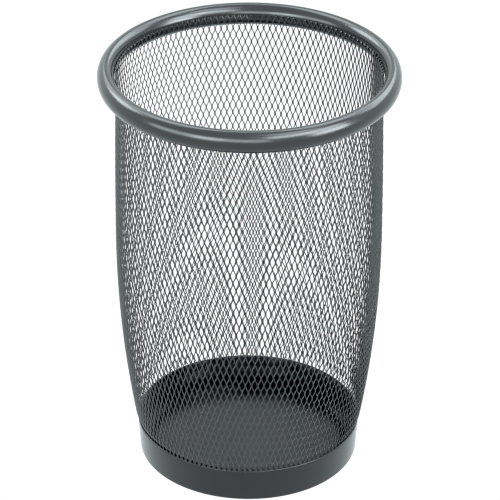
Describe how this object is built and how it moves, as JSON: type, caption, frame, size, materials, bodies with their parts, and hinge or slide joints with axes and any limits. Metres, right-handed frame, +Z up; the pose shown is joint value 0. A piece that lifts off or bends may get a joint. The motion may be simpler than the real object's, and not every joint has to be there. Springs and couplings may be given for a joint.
{
  "type": "mesh pen cup",
  "caption": "Open-topped, barrel-shaped desk cup with a metal mesh wall, a round tube rim and a solid band at its base, for holding pens upright.",
  "frame": {"origin": "centre of the foot ring, in the plane that the cup stands on", "axes": "+Z up the cup's axis to its mouth; the wall's lap seam is on the +X side"},
  "size_m": [0.085, 0.085, 0.124],
  "materials": {
    "wall_paint": "black satin powder coat on expanded steel",
    "rim_paint": "charcoal satin powder coat",
    "base_paint": "charcoal satin powder coat"
  },
  "bodies": {
    "root": {"mesh_wall": "wall_paint", "rim_ring": "rim_paint", "base_pan": "base_paint"}
  },
  "joints": []
}
